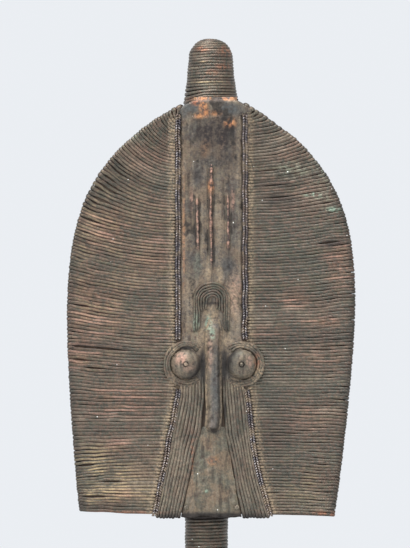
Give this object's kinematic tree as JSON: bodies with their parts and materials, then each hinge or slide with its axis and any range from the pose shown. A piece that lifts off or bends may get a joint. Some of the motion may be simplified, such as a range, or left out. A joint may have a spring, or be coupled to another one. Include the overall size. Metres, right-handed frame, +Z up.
{
  "type": "reliquary guardian figure",
  "caption": "Abstract guardian figure: a leaf-shaped head sheathed in copper and brass wire, with dome eyes and a blade nose, on a wire-bound neck and a low wooden base.",
  "frame": {"origin": "middle of the underside of the base", "axes": "+Z up the figure, the face looks along -Y, +X to the right of someone who faces it"},
  "size_m": [0.2025, 0.12, 0.437],
  "materials": {
    "base_wood": "dark stained wood, low sheen",
    "aged_wood": "dry hand-carved wood, darkened with age",
    "face_wire": "flattened copper and brass wire, dark brown-grey patina with bare copper in places",
    "bound_wire": "wound and bent copper wire, brown-grey patina with ochre dust between the turns",
    "twisted_wire": "twisted wire, dark grey-purple patina",
    "sheet_metal": "hammered copper sheet, dark patina with red-brown and blue-grey patches",
    "nail_metal": "small hand-made nails, dull"
  },
  "bodies": {
    "root": {"base": "base_wood", "wooden_head": "aged_wood", "neck_wire": "bound_wire", "topknot_wire": "bound_wire", "forehead_plate": "sheet_metal", "nose_hood": "bound_wire", "nose": "sheet_metal", "chin_plate": "sheet_metal", "cheek_wires_left": "face_wire", "braid_upper_left": "twisted_wire", "braid_lower_left": "twisted_wire", "eye_left": "sheet_metal", "eye_rings_left": "bound_wire", "eye_nail_left": "nail_metal", "jaw_wires_left": "face_wire", "chin_nail_left": "nail_metal", "cheek_wires_right": "face_wire", "braid_upper_right": "twisted_wire", "braid_lower_right": "twisted_wire", "eye_right": "sheet_metal", "eye_rings_right": "bound_wire", "eye_nail_right": "nail_metal", "jaw_wires_right": "face_wire", "chin_nail_right": "nail_metal"}
  },
  "joints": []
}
